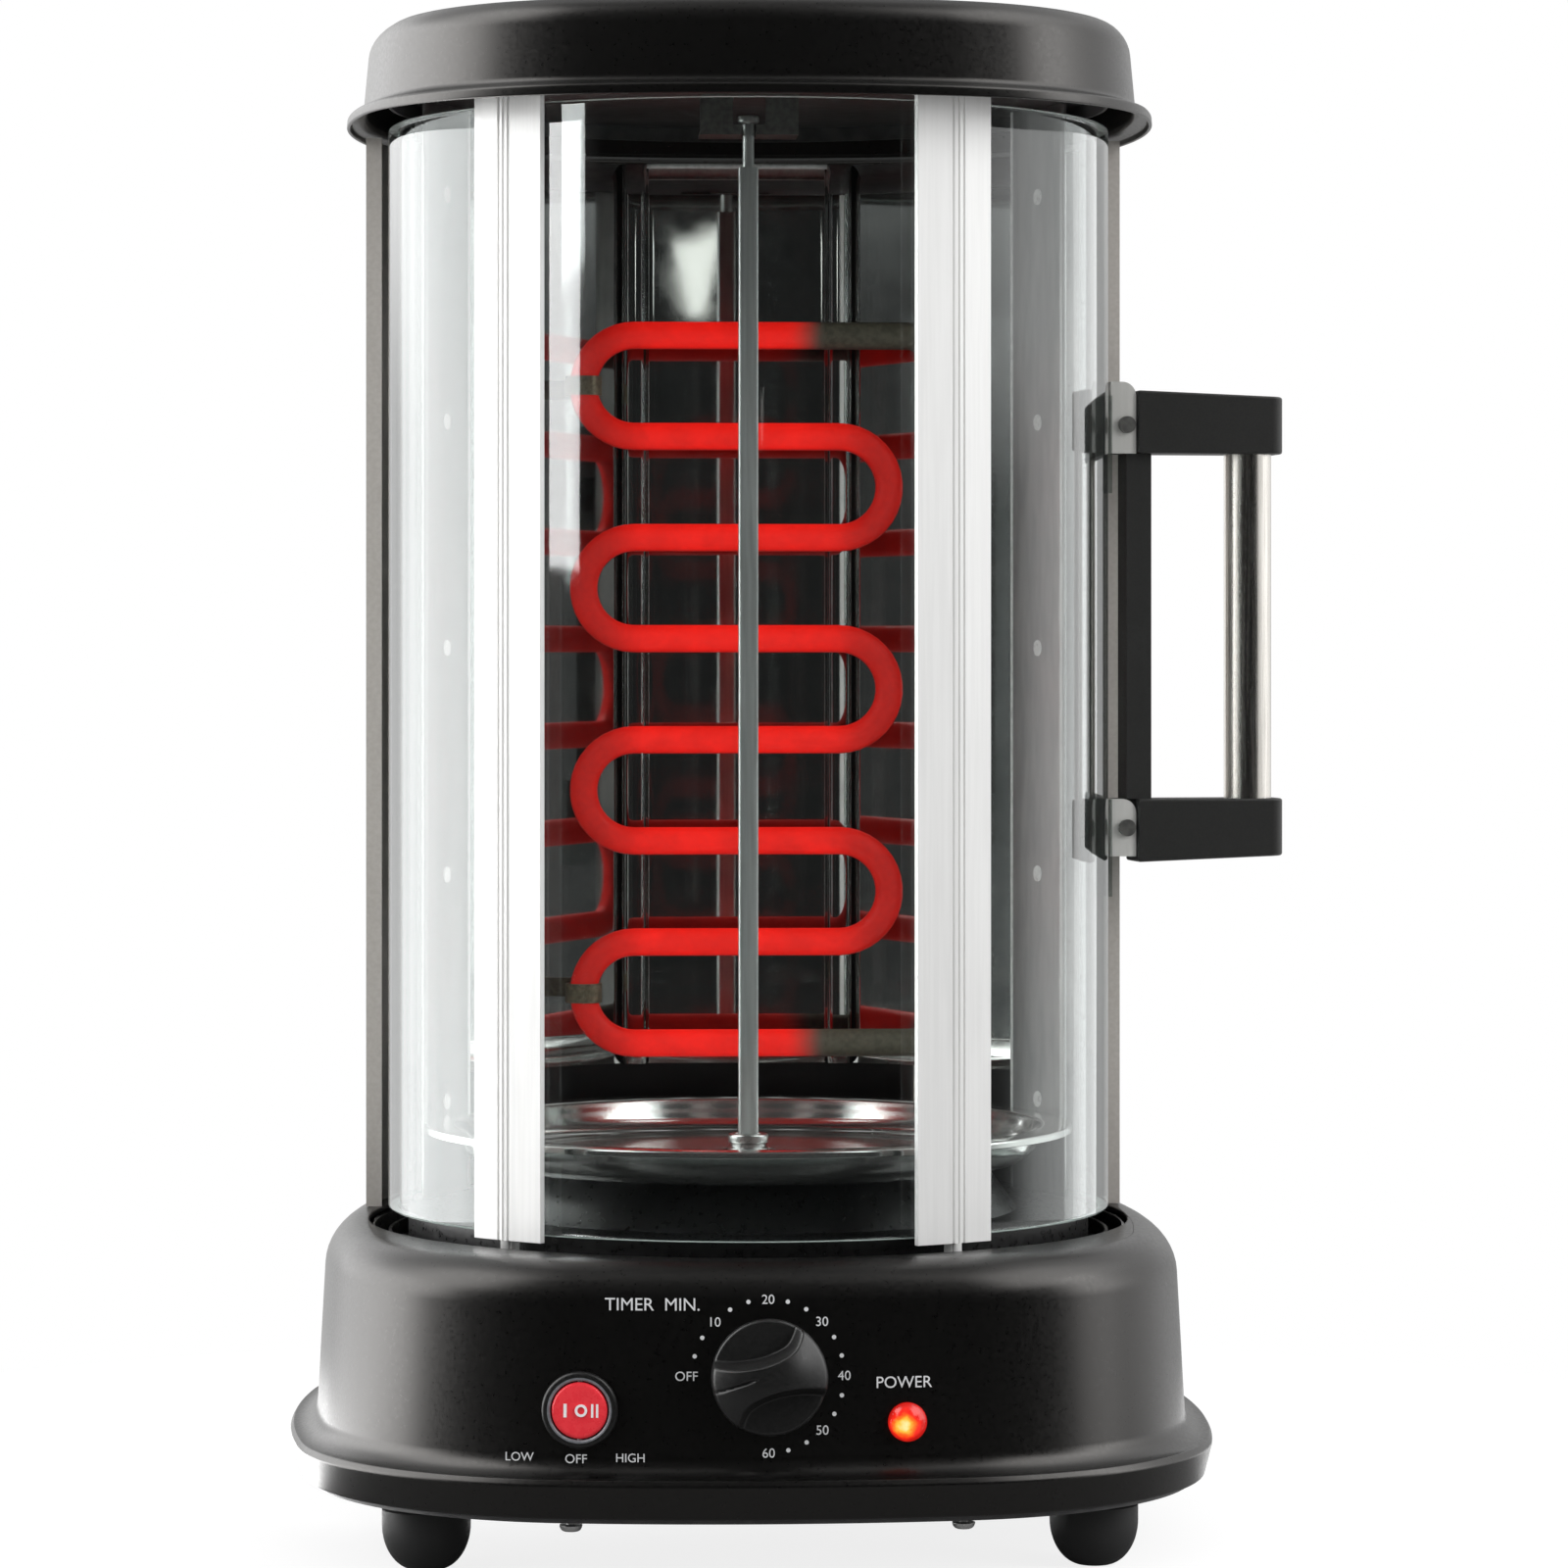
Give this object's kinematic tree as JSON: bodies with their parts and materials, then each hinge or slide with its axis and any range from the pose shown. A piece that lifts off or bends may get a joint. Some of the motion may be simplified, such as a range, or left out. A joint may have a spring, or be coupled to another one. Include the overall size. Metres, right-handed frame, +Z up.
{
  "type": "vertical kebab grill",
  "caption": "Countertop vertical rotisserie grill with a revolving curved glass door ring, a motor-driven upright spit, a drip tray, a coiled heating element and front controls.",
  "frame": {"origin": "on the spit's axis at the level of the counter that the feet stand on", "axes": "+Z up along the spit, -Y towards the front controls, +X towards the handle side"},
  "size_m": [0.3058, 0.2873, 0.453],
  "materials": {
    "black_paint": "satin black stove paint",
    "zinc_sheet": "plain plated sheet",
    "grey_sheet": "warm grey satin metal",
    "polished_steel": "polished stainless steel",
    "fastener_steel": "plated steel",
    "bush_brass": "turned",
    "element_hot": "glowing sheath",
    "element_cold": "heat-tinted sheath",
    "lead_sleeve": "glass-fibre sleeve",
    "white_plastic": "moulded",
    "black_plastic": "satin black moulding",
    "red_plastic": "gloss red moulding",
    "red_lamp": "lit red lens",
    "rubber_black": "moulded rubber",
    "clear_glass": "clear bent tempered glass",
    "satin_aluminium": "satin anodised",
    "brushed_tube": "brushed stainless tube"
  },
  "bodies": {
    "housing": {"base_shell": "black_paint", "base_plate": "zinc_sheet", "base_screws": "fastener_steel", "foot_front_left": "rubber_black", "foot_front_right": "rubber_black", "foot_rear_left": "rubber_black", "foot_rear_right": "rubber_black", "deck_pan": "black_paint", "deck_bush": "bush_brass", "lid_shell": "black_paint", "lid_liner": "zinc_sheet", "spit_bracket": "polished_steel", "rear_cover": "grey_sheet", "rear_cover_screws": "fastener_steel", "post_left": "zinc_sheet", "post_right": "zinc_sheet", "reflector_back": "polished_steel", "reflector_side_left": "polished_steel", "reflector_side_right": "polished_steel", "reflector_screws": "fastener_steel", "heating_element": "element_hot", "element_cold_ends": "element_cold", "element_clips": "fastener_steel", "element_leads": "lead_sleeve", "terminal_block": "white_plastic", "gearmotor_body": "zinc_sheet", "motor_bracket": "zinc_sheet", "motor_screws": "fastener_steel", "timer_body": "zinc_sheet", "timer_nut": "fastener_steel", "switch_pivot": "fastener_steel", "switch_bezel": "black_plastic", "switch_body": "black_plastic", "lamp_lens": "red_lamp", "cord_gland": "black_plastic"},
    "glass_ring": {"pane_left": "clear_glass", "pane_centre": "clear_glass", "pane_right": "clear_glass", "strip_left": "satin_aluminium", "strip_right": "satin_aluminium", "inner_strip_left": "satin_aluminium", "inner_strip_right": "satin_aluminium", "seal_left": "rubber_black", "seal_right": "rubber_black", "end_stile": "satin_aluminium", "guide_pins_lower": "fastener_steel", "guide_pins_upper": "fastener_steel", "handle_arm_upper": "black_plastic", "handle_arm_lower": "black_plastic", "handle_tube": "brushed_tube", "handle_back_bar": "black_plastic", "handle_pads": "polished_steel", "handle_clips": "polished_steel", "handle_screws": "fastener_steel"},
    "drive": {"drive_hub": "polished_steel"},
    "skewer": {"spit": "polished_steel"},
    "tray": {"drip_tray": "polished_steel"},
    "knob": {"timer_knob": "black_plastic"},
    "rocker": {"switch_rocker": "red_plastic"}
  },
  "joints": [
    {"name": "door_turn", "type": "hinge", "parent": "housing", "child": "glass_ring", "pos_m": [0, 0, 0.093], "axis": [0, 0, -1], "range_deg": [0, 125]},
    {"name": "spit_drive", "type": "hinge", "parent": "housing", "child": "drive", "pos_m": [0, 0, 0.11], "axis": [0, 0, 1], "continuous": true},
    {"name": "spit_lift", "type": "slide", "parent": "drive", "child": "skewer", "axis": [0, 0, 1], "range_m": [0, 0.006]},
    {"name": "tray_lift", "type": "slide", "parent": "housing", "child": "tray", "axis": [0, 0, 1], "range_m": [0, 0.008]},
    {"name": "timer_turn", "type": "hinge", "parent": "housing", "child": "knob", "pos_m": [0, -0.13017, 0.0613], "axis": [0, 0.9981, -0.0624], "range_deg": [0, 270]},
    {"name": "switch_rock", "type": "hinge", "parent": "housing", "child": "rocker", "pos_m": [-0.05308, -0.12776, 0.05164], "axis": [0.0084, 0.0618, 0.9981], "range_deg": [-11, 11]}
  ]
}
